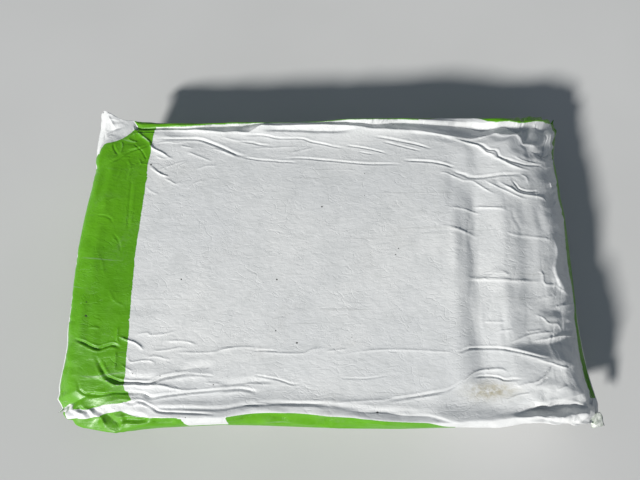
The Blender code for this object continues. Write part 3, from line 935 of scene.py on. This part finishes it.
def print_distance(film, ss, tt):
    """How far each point is inside the green print, in mm."""
    lowest, highest = -GUSSET - 1, 2 * PANEL + GUSSET + 1
    edge = film.line([(156, 129), (153, 138), (151, 147), (148, 163), (145, 190), (142, 210), (135.7, 250), (131, 300),
                      (129, 330), (126, 360), (124.5, 390)])
    band = [(lowest, 0.0), (lowest, 117.0), (-12, 114.0)] + [tuple(q) for q in edge]
    band += [(316.3, 124.0), (322, 124.0), (345, 119.0), (highest, 118.0), (highest, 0.0)]
    green = polygon_distance(band, ss, tt)
    gusset = [(PANEL + GUSSET, 110.0), (326.9, 110.0), (326.9, 384.0), (340.0, 408.0), (PANEL + GUSSET, 408.0)]
    green = np.maximum(green, polygon_distance(gusset, ss, tt))
    far = [(-GUSSET, 110), (0.45, 110), (0.45, 388), (-3, 400), (-8.5, 414), (-8.5, 452), (-3, 464), (0.45, 472), (0.45, 700), (-GUSSET, 700)]
    green = np.maximum(green, polygon_distance(far, ss, tt))
    for s0, s1, t0, t1 in ((lowest, -GUSSET, 571, 700), (PANEL + GUSSET, highest, 571, 700)):
        green = np.maximum(green, polygon_distance([(s0, t0), (s0, t1), (s1, t1), (s1, t0)], ss, tt))
    end = [(0, 700), (0, 573), (10, 570), (30, 572), (60, 570), (120, 570), (160, 571), (220, 574), (240, 576.5), (303, 577), (303, 700)]
    green = np.maximum(green, polygon_distance(end, ss, tt))
    ear = film.line([(104, 144.5), (110, 142.5), (118, 140.5), (125, 137), (133, 131), (138, 126.5)])
    white = [(-38, -30), (-38, 78), (-6, 82)] + [tuple(q) for q in ear[::-1]] + [(47.0, 58.0), (48.0, -30)]
    green = np.minimum(green, -polygon_distance(white, ss, tt))
    strip_far = film.line([(66, 407), (80, 409), (100, 406), (118, 404), (126, 402.2)])
    strip_near = film.line([(70, 419), (90, 418), (100, 416), (110, 413), (120, 411), (130, 415), (150, 414.4), (176, 416.2)])
    strip = [(324.5, 6.0)] + [tuple(q) for q in strip_far] + [(312.0, 130.0), (312.0, 176.0)]
    strip += [tuple(q) for q in strip_near[::-1]] + [(333.6, 6.0)]
    green = np.minimum(green, -polygon_distance(strip, ss, tt))
    box = [(322.0, 167.0), (322.0, 206.0), (342.5, 208.0), (342.5, 172.0)]
    green = np.minimum(green, -polygon_distance(box, ss, tt))
    for s0, s1, t0, t1 in ((-70, -16, 176, 214), (-70, -16, 330, 400)):
        green = np.minimum(green, -polygon_distance([(s0, t0), (s0, t1), (s1, t1), (s1, t0)], ss, tt))
    ragged = 2.4 + 2.2 * np.sin(ss / 2.05) + 1.0 * np.sin(ss / 7.0) + 0.8 * np.sin(ss / 17.0 + 4.0)
    green = np.minimum(green, tt + FIN - ragged)
    return np.minimum(green, LENGTH + FIN - 1.3 - 0.3 * np.sin(ss / 5.0) - tt)


# ------------------------------------------------------------------ materials
class Nodes:
    def __init__(self, name):
        self.material = bpy.data.materials.new(name)
        self.material.use_nodes = True
        self.tree = self.material.node_tree
        self.tree.nodes.clear()

    def add(self, kind, inputs=(), **settings):
        node = self.tree.nodes.new(kind)
        for key, value in settings.items():
            setattr(node, key, value)
        for key, value in dict(inputs).items():
            socket = node.inputs[key]
            if isinstance(value, bpy.types.NodeSocket):
                self.tree.links.new(value, socket)
            else:
                socket.default_value = value
        return node

    def math(self, operation, a, b=0.0, clamp=False):
        return self.add("ShaderNodeMath", {0: a, 1: b}, operation=operation, use_clamp=clamp).outputs[0]

    def span(self, value, low, high, to_low=0.0, to_high=1.0):
        node = self.add("ShaderNodeMapRange", {0: value, 1: low, 2: high, 3: to_low, 4: to_high})
        node.interpolation_type = "SMOOTHSTEP"
        return node.outputs[0]

    def mix(self, share, a, b, blend="MIX"):
        node = self.add("ShaderNodeMix", data_type="RGBA", blend_type=blend)
        for key, value in ((0, share), (6, a), (7, b)):
            if isinstance(value, bpy.types.NodeSocket):
                self.tree.links.new(value, node.inputs[key])
            else:
                node.inputs[key].default_value = value
        return node.outputs[2]

    def noise(self, where, scale, detail=2.0, rough=0.5, distortion=0.0):
        return self.add(
            "ShaderNodeTexNoise",
            {"Vector": where, "Scale": scale, "Detail": detail, "Roughness": rough, "Distortion": distortion},
        ).outputs[0]

    def stretched(self, where, scale):
        return self.add("ShaderNodeMapping", {"Vector": where, "Scale": scale}).outputs[0]


def film_material():
    """Printed polyethylene film: milky white under clear gloss, with green print, scuffs, grime and specks."""
    n = Nodes("printed_film")
    at = n.add("ShaderNodeAttribute", attribute_name="film").outputs["Vector"]  # film coordinates in metres
    ink = n.add("ShaderNodeAttribute", attribute_name="ink").outputs["Fac"]
    stain = n.add("ShaderNodeAttribute", attribute_name="stain").outputs["Fac"]
    worn = n.add("ShaderNodeAttribute", attribute_name="worn").outputs["Fac"]
    ragged = n.noise(at, 900.0, 2.0)
    edge = n.math("ADD", ink, n.math("MULTIPLY", n.math("SUBTRACT", ragged, 0.5), 0.5))
    green = n.span(edge, -0.25, 0.25)

    broad = n.noise(at, 9.0, 3.0, 0.55)
    fine = n.noise(at, 160.0, 3.0, 0.6)
    white = n.mix(n.span(broad, 0.3, 0.7), (0.69, 0.70, 0.705, 1), (0.76, 0.765, 0.76, 1))
    white = n.mix(n.span(n.noise(at, 42.0, 4.0, 0.62, 0.5), 0.42, 0.68, 0.0, 0.34), white, (0.56, 0.575, 0.575, 1))
    white = n.mix(n.span(fine, 0.35, 0.8, 0.0, 0.16), white, (0.52, 0.53, 0.52, 1))
    white = n.mix(n.span(n.noise(at, 800.0, 2.0, 0.7), 0.45, 0.75, 0.0, 0.22), white, (0.50, 0.51, 0.50, 1))
    leaf = n.mix(n.span(broad, 0.3, 0.7), (0.088, 0.300, 0.005, 1), (0.108, 0.345, 0.007, 1))
    leaf = n.mix(n.span(fine, 0.40, 0.85, 0.0, 0.22), leaf, (0.17, 0.43, 0.04, 1))
    base = n.mix(green, white, leaf)

    # scuffs where the film stands proud, thin scratches, grime, cement dust, specks
    scuff = n.math("MULTIPLY", n.span(worn, 0.45, 1.3), n.span(n.noise(at, 260.0, 4.0, 0.65), 0.48, 0.62), clamp=True)
    base = n.mix(n.math("MULTIPLY", scuff, 0.40), base, (0.60, 0.62, 0.58, 1))
    turned = n.add("ShaderNodeMapping", {"Vector": at, "Rotation": (0, 0, 0.5), "Scale": (190.0, 7.0, 1.0)}).outputs[0]
    scratch = n.span(n.add("ShaderNodeTexNoise", {"Vector": turned, "Scale": 1.0, "Detail": 1.0}).outputs[0], 0.70, 0.74)
    turned = n.add("ShaderNodeMapping", {"Vector": at, "Rotation": (0, 0, -0.9), "Scale": (230.0, 9.0, 1.0)}).outputs[0]
    scratch = n.math("MAXIMUM", scratch, n.span(n.add("ShaderNodeTexNoise", {"Vector": turned, "Scale": 1.0, "Detail": 1.0}).outputs[0], 0.71, 0.75))
    base = n.mix(n.math("MULTIPLY", scratch, 0.22), base, (0.34, 0.35, 0.34, 1))
    grime = n.math("MULTIPLY", n.span(n.noise(at, 22.0, 5.0, 0.62, 0.6), 0.52, 0.78), n.span(n.noise(at, 330.0, 3.0, 0.7), 0.35, 0.7))
    base = n.mix(n.math("MULTIPLY", grime, 0.26), base, (0.33, 0.315, 0.28, 1))
    base = n.mix(n.math("MULTIPLY", stain, n.span(n.noise(at, 190.0, 4.0, 0.68), 0.26, 0.66)), base, (0.33, 0.285, 0.15, 1))
    cells = n.add("ShaderNodeTexVoronoi", {"Vector": at, "Scale": 150.0, "Randomness": 1.0}, feature="F1")
    size = n.math("MULTIPLY", n.span(n.add("ShaderNodeSeparateColor", {"Color": cells.outputs["Color"]}).outputs[0], 0.955, 1.0), 0.16)
    speck = n.math("LESS_THAN", cells.outputs["Distance"], size)
    base = n.mix(n.math("MULTIPLY", speck, 0.85), base, (0.035, 0.033, 0.03, 1))

    # sheen: smooth film, dulled by scuffs, dust and crinkles
    rough = n.span(n.noise(at, 60.0, 4.0, 0.6), 0.3, 0.7, 0.36, 0.50)
    rough = n.math("ADD", rough, n.math("MULTIPLY", grime, 0.25))
    rough = n.math("ADD", rough, n.math("MULTIPLY", scuff, 0.18), clamp=True)

    # crinkles too small for the mesh: tight ripples, hair creases and orange peel
    long = n.stretched(at, (1.0, 0.55, 1.0))
    ripple = n.math("MULTIPLY", n.noise(long, 230.0, 4.0, 0.62, 0.5), 0.00066)
    crease = 0.0
    for scale, seen, deep in ((60.0, 31.0, 0.00015), (110.0, 47.0, 0.00011), (210.0, 60.0, 0.00006)):
        field = n.noise(n.stretched(at, (1.0, 0.7, 1.0)), scale, 1.0, 0.5, 1.5)
        line = n.span(n.math("ABSOLUTE", n.math("SUBTRACT", field, 0.5)), 0.0, 0.035, 1.0, 0.0)
        shown = n.span(n.noise(at, seen, 1.0), 0.50, 0.60, 0.0, deep)
        crease = n.math("ADD", n.math("MULTIPLY", line, shown), crease)
    peel = n.math("MULTIPLY", n.noise(at, 1500.0, 2.0, 0.5), 0.00006)
    height = n.math("ADD", n.math("ADD", ripple, crease), peel)
    height = n.math("SUBTRACT", height, n.math("MULTIPLY", scratch, 0.00006))
    bump = n.add("ShaderNodeBump", {"Strength": 0.75, "Distance": 1.0, "Height": height}).outputs[0]
    shader = n.add(
        "ShaderNodeBsdfPrincipled",
        {"Base Color": base, "Roughness": rough, "IOR": 1.45, "Specular IOR Level": 0.32, "Coat Weight": 0.04, "Coat Roughness": 0.2, "Normal": bump},
    )
    n.add("ShaderNodeOutputMaterial", {"Surface": shader.outputs[0]})
    return n.material


def clear_film_material():
    """The same film without print: cloudy, wrinkled, clear."""
    n = Nodes("clear_film")
    at = n.add("ShaderNodeTexCoord").outputs["Object"]
    cloud = n.noise(at, 220.0, 4.0, 0.6)
    colour = n.mix(n.span(cloud, 0.35, 0.65), (0.34, 0.38, 0.33, 1), (0.66, 0.68, 0.64, 1))
    bump = n.add("ShaderNodeBump", {"Strength": 0.6, "Distance": 1.0, "Height": n.math("MULTIPLY", cloud, 0.0010)}).outputs[0]
    shader = n.add(
        "ShaderNodeBsdfPrincipled",
        {"Base Color": colour, "Roughness": n.span(cloud, 0.3, 0.7, 0.16, 0.36), "IOR": 1.5, "Normal": bump},
    )
    n.add("ShaderNodeOutputMaterial", {"Surface": shader.outputs[0]})
    return n.material


def floor_material():
    n = Nodes("floor")
    at = n.add("ShaderNodeTexCoord").outputs["Object"]
    colour = n.mix(n.span(n.noise(at, 3.0, 3.0), 0.3, 0.7), (0.54, 0.54, 0.535, 1), (0.57, 0.57, 0.565, 1))
    shader = n.add("ShaderNodeBsdfPrincipled", {"Base Color": colour, "Roughness": 0.85})
    n.add("ShaderNodeOutputMaterial", {"Surface": shader.outputs[0]})
    return n.material


# ------------------------------------------------------------------ the sack
def surface_normals(p):
    """Normals of the rows of ring points, outward."""
    ds = np.roll(p, -1, 1) - np.roll(p, 1, 1)
    dt = np.gradient(p, axis=0)
    normal = np.cross(dt, ds)
    for _ in range(2):
        normal[1:-1] = 0.5 * normal[1:-1] + 0.125 * (
            normal[:-2] + normal[2:] + np.roll(normal, 1, 1)[1:-1] + np.roll(normal, -1, 1)[1:-1]
        )
    normal /= np.linalg.norm(normal, axis=-1, keepdims=True) + 1e-9
    if normal[len(p) // 2, 60, 2] < 0:
        normal = -normal
    return normal


def fin(ring, layer, end, seed):
    """Rows of the welded margin outside one weld, from the weld outwards, in mm. It droops, most where the sack is full."""
    y = ring[:, 1]
    u = y / (PANEL / 2)
    middle = ring.copy()
    middle[:, 2] -= layer
    wave = 0.8 * np.sin(y / 19.0 + seed) + 0.5 * np.sin(y / 8.3 + 2 * seed) + 1.0 * np.sin(y / 47.0 - seed)
    cut = 0.5 * np.sin(y / 31.0 + seed) + 0.3 * np.sin(y / 6.1)
    if end < 0:
        droop = np.radians(62 - 34 * np.clip((u - 0.7) / 0.3, 0, 1) + 8 * np.sin(y / 26.0))
    else:
        droop = np.radians(68 - 34 * np.clip((-u - 0.25) / 0.6, 0, 1) + 8 * np.sin(y / 33.0 + 1.0))
    rows = []
    for k, out in enumerate((1.2, 2.6, 4.2, 6.0, FIN)):
        share = out / FIN
        bend = droop * ease(out / 3.5)
        q = middle.copy()
        q[:, 0] += end * (out * np.cos(bend) + share * cut)
        q[:, 2] += share * wave - out * np.sin(bend) * 0.9
        q[:, 2] += layer * (0.72 if k % 2 else 0.60) * np.cos(bend)
        q[:, 0] += end * layer * 0.66 * np.sin(bend)
        rows.append(q)
    return rows


def from_pixels(px, py, z_mm):
    """The point at a given height that shows at a pixel, in mm."""
    u, w = (px - 320) / CAM_F, (py - 240) / CAM_F
    sn, cs = math.sin(CAM_DOWN), math.cos(CAM_DOWN)
    ray = np.array([u, cs - w * sn, -sn - w * cs])
    at = np.array(CAM_AT) * 1000
    return at + ray * (z_mm - at[2]) / ray[2]


def leaned(p, t):
    """The filling has slid towards the near side: the body lies there, while the welds stay."""
    w = ease(np.minimum(t, LENGTH - t) / 105)[:, None]
    p[..., 1] += w * (-12.0 - 0.033 * p[..., 1])
    return p


# Courses of two ears' creases: film coordinate t, pixel, height in mm.
EAR_FAR_LEFT = [
    (0, 105, 108, 57.5), (15, 108.5, 110.2, 64), (30, 114, 113.6, 71), (45, 121, 117.2, 78), (60, 129, 119.8, 83.5),
    (75, 138.5, 121.3, 87), (90, 149.5, 122.3, 89), (105, 161, 123, 91),
]
EAR_NEAR_RIGHT = [
    (475, 536, 423.5, 86), (488, 549, 424, 84.5), (500, 560, 424.4, 82), (512, 568.5, 424.6, 78), (525, 575.5, 424.8, 73),
    (537, 580.5, 425, 67.5), (549, 584.3, 425, 61), (561, 587.2, 425, 54.5), (574, 589.6, 425, 48), (586, 592, 424.6, 41.5),
]


EAR_FAR_RIGHT = [
    (455, 482.5, 120, 93.5), (470, 494, 120.2, 92.5), (485, 505.5, 120.4, 91), (500, 516.5, 120.6, 88.5), (512, 525.5, 120.9, 85),
    (525, 534.5, 121.2, 80), (537, 541.5, 121.6, 74), (549, 546.5, 122.2, 67.5), (561, 549.5, 123, 60.5), (574, 551.8, 124, 53),
    (586, 553.5, 124.4, 46),
]


# Where the near gusset bulges out, its front crease is drawn back onto the top.
NEAR_SIDE = [
    (72, 79.5, 419, 74), (86, 92, 417.5, 80.5), (100, 106, 414.8, 86), (112, 119, 413, 89), (125, 133, 413.5, 92), (149, 160, 415, 95.5),
    (175, 189, 416, 97.5), (199, 216.5, 416.4, 98.5), (209, 228, 415.4, 98.5), (223, 244, 412.4, 98.5), (237, 260, 410.3, 98.5),
    (250, 276, 409.2, 98.5), (264, 292, 409.2, 98.5), (278, 308, 410, 98.5), (292, 324, 411.5, 98.5), (306, 340, 413.3, 98.5),
    (333, 372, 416.3, 98.5), (353, 396, 419.3, 98), (374, 420, 422, 97.5), (388, 436, 423.5, 97), (402, 452, 424.8, 96), (420, 473, 426, 94.5),
]


def led(p, s, t, crease, course, fade, first=0.0, reach=24.0):
    """Brings a crease to its course. The panel follows near it, the gusset as far as its middle crease."""
    k = int(np.argmin(np.abs(s - crease)))
    places = np.array([from_pixels(px, py, z) for _, px, py, z in course])
    at = np.array([c[0] for c in course], float)
    rows = np.nonzero((t >= at[0] - 1e-6) & (t <= at[-1] + 1e-6))[0]
    index = np.interp(t[rows], at, np.arange(len(at)))
    wanted = cubic(places, index, 0, False)
    inner = at[-1] if at[0] < LENGTH / 2 else at[0]
    hold = ease(np.abs(t[rows] - inner) / fade)[:, None]
    if first:
        hold = hold * ease((t[rows] - at[0]) / first)[:, None]
    away = (s - crease + AROUND / 2) % AROUND - AROUND / 2
    on_panel = (away > 0) == (crease == 0)
    share = np.where(on_panel, np.exp(-((away / reach) ** 2)), np.clip(1 - np.abs(away) / (GUSSET / 2), 0, 1))
    move = (wanted - p[rows, k]) * hold
    p[rows] += move[:, None, :] * share[None, :, None]
    return p


def walled(p, s, t):
    """Draws the film over the right end in one curve from the shoulder to the weld, without the ledge of slack film."""
    for k in np.nonzero((s > 2) & (s < 304))[0]:
        share = ease((s[k] - 6) / 22) * ease((302 - s[k]) / 30)
        first = int(np.argmin(np.abs(t - (503 + 5 * math.sin(s[k] / 15.0) + 3 * math.sin(s[k] / 6.1 + 2)))))
        last = int(np.argmin(np.abs(t - 580)))
        start, end = p[first, k].copy(), p[last, k].copy()
        ahead = start - p[first - 12, k]
        bend = start + ahead / (np.linalg.norm(ahead) + 1e-9) * 0.40 * np.linalg.norm(end - start)
        u = ((t[first:last] - t[first]) / (t[last] - t[first]))[:, None]
        curve = (1 - u) ** 2 * start + 2 * u * (1 - u) * bend + u * u * end
        p[first:last, k] += share * (curve - p[first:last, k])
    return p


def thin(obj, triangles, kept):
    """Thins the mesh out where it is flat, so that the creases keep their sharpness."""
    now = sum(len(p.vertices) - 2 for p in obj.data.polygons)
    free = obj.vertex_groups.new(name="free")
    free.add([int(k) for k in np.nonzero(~kept.ravel())[0]], 1.0, "REPLACE")
    less = obj.modifiers.new("less", "DECIMATE")
    less.decimate_type, less.ratio, less.use_collapse_triangulate = "COLLAPSE", triangles / now, True
    less.vertex_group, less.vertex_group_factor = free.name, 0.0
    bpy.context.view_layer.objects.active = obj
    bpy.ops.object.modifier_apply(modifier=less.name)
    obj.vertex_groups.clear()


def sack():
    coarse = smooth_rows(blown_tube(), 2)
    s, t, parts = fine_places()
    cs = np.r_[ring_coordinates(), AROUND]
    fine = cubic(coarse, np.interp(s, cs, np.arange(len(cs))), 1, True)
    fine = cubic(fine, t / LENGTH * N_LENGTH, 0, False)
    fine[..., 2] = np.clip(fine[..., 2], 0.3, None)
    high = fine[..., 2].max()
    fine[..., 2] *= np.interp(fine[..., 2], [0, high], [1.0, 103.6 / high])
    x, y, z = fine[..., 0], fine[..., 1], fine[..., 2]
    sink = 24.0 * np.clip((x - 170) / 76, 0, 1.12) ** 2 * np.interp(y, [-140, -80], [0.5, 1.0])
    sink += 12.0 * np.clip((-x - 214) / 50, 0, 1.15) ** 2
    sink += 12.0 * np.clip((-y - 127) / 44, 0, 1.1) ** 2 * np.interp(x, [110, 165], [1.0, 0.25])
    fine[..., 2] -= sink * ease((z - 62) / 30)
    fine = fit_outline(leaned(fine, t), 3)
    fine = led(fine, s, t, 0.0, EAR_FAR_LEFT, 40)
    fine = led(fine, s, t, PANEL, EAR_NEAR_RIGHT, 40)
    fine = led(fine, s, t, 0.0, EAR_FAR_RIGHT, 30, 0.0, 40.0)
    fine = led(fine, s, t, PANEL, NEAR_SIDE, 34, 34, 55.0)
    fine = walled(fit_outline(fine, 2), s, t)

    relief = Relief(s, t)
    rims(relief)
    rimmed = fine + surface_normals(fine) * relief.h[..., None]
    rimmed[..., 1:] += np.stack(far_rim(relief), -1)
    rimmed = fit_outline(rimmed, 2)
    film = Film(rimmed, s, t)
    rimmed[..., 2] += dented(relief, film) + ear_pleat(relief, film)
    rimmed = fit_outline(rimmed, 2)
    film = Film(rimmed, s, t)
    folds = Relief(s, t)
    drawn_folds(folds, film)
    loose_film(folds)
    ss, tt = folds.grid()
    hold = ease((tt - 1) / 9) * ease((LENGTH - 1 - tt) / 9)
    tucked = (ss > PANEL + 0.5) & (ss < PANEL + GUSSET) | (ss < -0.5) & (ss > -GUSSET)
    hold = np.where(tucked, hold * ease((np.minimum(tt, LENGTH - tt) - 14) / 40), hold)
    shown = rimmed + surface_normals(rimmed) * (folds.h * hold)[..., None]
    shown = fit_outline(shown, 2)
    shown = led(shown, s, t, PANEL, EAR_NEAR_RIGHT, 30, 0.0, 30.0)
    shown = led(shown, s, t, 0.0, EAR_FAR_RIGHT, 26, 0.0, 30.0)
    y, layer = welded_section(s)
    left, right = fin(shown[0], layer, -1, 1.0), fin(shown[-1], layer, 1, 2.3)
    points = np.concatenate([np.array(left[::-1]), shown, np.array(right)])
    points = fit_outline(points, 2)
    lift = points[..., 2].min() - 0.05  # the underside lies on the floor
    points[..., 2] = np.clip(points[..., 2] - lift * np.clip(1 - points[..., 2] / 30, 0, 1), 0.05, 106.4)
    film = Film(points[5:-5], s, t)
    reach = np.array([1.2, 2.6, 4.2, 6.0, FIN])
    rows_t = np.r_[-reach[::-1], t, LENGTH + reach]
    obj = tube_object("sack_film", points, parts, y)
    mesh = obj.data
    ss, tt = np.meshgrid(folds.s, rows_t)
    values = {
        "ink": print_distance(film, ss, tt),
        "stain": np.zeros(ss.shape),
        "worn": np.pad(relief.h / 4.0 + np.clip(folds.h, 0, None), ((5, 5), (0, 0))),
    }
    values["worn"] *= np.where((ss > PANEL - 1) & (ss < PANEL + GUSSET), 0.3, 1.0)
    centre = film.at(491, 391)
    if centre is not None:
        values["stain"] = 0.85 * np.exp(-(((ss - centre[0]) / 8.0) ** 2) - ((tt - centre[1]) / 19.0) ** 2)
    for name, value in values.items():
        layer_of = mesh.attributes.new(name, "FLOAT", "POINT")
        layer_of.data.foreach_set("value", value.ravel().astype(np.float32))
    place = np.stack([ss / 1000, tt / 1000, np.zeros(ss.shape)], -1)
    at = mesh.attributes.new("film", "FLOAT_VECTOR", "POINT")
    at.data.foreach_set("vector", place.reshape(-1).astype(np.float32))
    along = (tt > 60) & (tt < LENGTH - 8)
    thin(obj, 192000, along & ((np.abs(ss) < 2.0) | (np.abs(ss - PANEL) < 1.3)))
    mesh = obj.data
    mesh.polygons.foreach_set("use_smooth", [True] * len(mesh.polygons))
    mesh.materials.append(film_material())
    return obj, film


def add_loose_tab(film_obj):
    """The scrap of clear film that hangs, crumpled, from the weld's near end: one piece with the sack."""
    rng = np.random.default_rng(3)
    n = 11
    corners = np.array([[(589.5, 415.5), (600.0, 412.0)], [(591.8, 427.2), (604.2, 425.5)]])
    verts, faces = [], []
    for i in range(n):
        for j in range(n):
            u, v = j / (n - 1), i / (n - 1)
            top = corners[0, 0] * (1 - u) + corners[0, 1] * u
            low = corners[1, 0] * (1 - u) + corners[1, 1] * u
            px, py = top * (1 - v) + low * v
            px += (0.8 * math.sin(7 * v) + 1.2 * math.sin(math.pi * v)) * (u - 0.3)
            py += 1.1 * math.sin(math.pi * u + 0.4) * (v - 0.2) + 0.5 * math.sin(9 * u) * v
            z = 45.0 - 12.0 * v + 3.4 * (1 - abs(u - 0.42) / 0.5) * (0.3 + 0.7 * v) + 1.6 * math.sin(8 * v + 2.5 * u)
            verts.append(from_pixels(px, py, z + 0.7 * (rng.random() - 0.5)) / 1000)
    for i in range(n - 1):
        for j in range(n - 1):
            a = i * n + j
            faces.append((a, a + 1, a + n + 1, a + n))
    mesh = bpy.data.meshes.new("loose_tab")
    mesh.from_pydata(verts, [], faces)
    obj = bpy.data.objects.new("loose_tab", mesh)
    bpy.context.scene.collection.objects.link(obj)
    solid = obj.modifiers.new("thickness", "SOLIDIFY")
    solid.thickness, solid.offset = 0.0004, 0.0
    bpy.context.view_layer.objects.active = obj
    bpy.ops.object.modifier_apply(modifier=solid.name)
    mesh = obj.data
    mesh.polygons.foreach_set("use_smooth", [True] * len(mesh.polygons))
    mesh.materials.append(clear_film_material())
    bpy.ops.object.select_all(action="DESELECT")
    obj.select_set(True)
    film_obj.select_set(True)
    bpy.context.view_layer.objects.active = film_obj
    bpy.ops.object.join()


# ------------------------------------------------------------------ floor, light, camera
def stage():
    bpy.ops.mesh.primitive_plane_add(size=8.0)
    floor = bpy.context.object
    floor.name = "floor"
    floor.data.materials.append(floor_material())

    data = bpy.data.lights.new("key", "SUN")  # a soft lamp so far away that it lights the whole sack alike
    data.energy, data.angle, data.color = 4.9, math.radians(7), (1.0, 0.985, 0.955)
    lamp = bpy.data.objects.new("key", data)
    lamp.rotation_euler = Vector((1.32, 1.39, -1.10)).to_track_quat("-Z", "Y").to_euler()
    bpy.context.scene.collection.objects.link(lamp)
    world = bpy.data.worlds.new("studio")
    world.use_nodes = True
    world.node_tree.nodes["Background"].inputs[0].default_value = (0.72, 0.85, 1.0, 1)
    world.node_tree.nodes["Background"].inputs[1].default_value = 0.19
    bpy.context.scene.world = world

    data = bpy.data.cameras.new("camera")
    data.sensor_width, data.lens = 36.0, CAM_F / 640 * 36
    data.clip_start = 0.01
    camera = bpy.data.objects.new("camera", data)
    camera.location = CAM_AT
    camera.rotation_euler = (math.pi / 2 - CAM_DOWN, 0, 0)
    bpy.context.scene.collection.objects.link(camera)
    bpy.context.scene.camera = camera
    bpy.context.scene.view_settings.view_transform = "Standard"


film_piece, film_lines = sack()
add_loose_tab(film_piece)
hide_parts("sack")
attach(film_piece, "root")
stage()
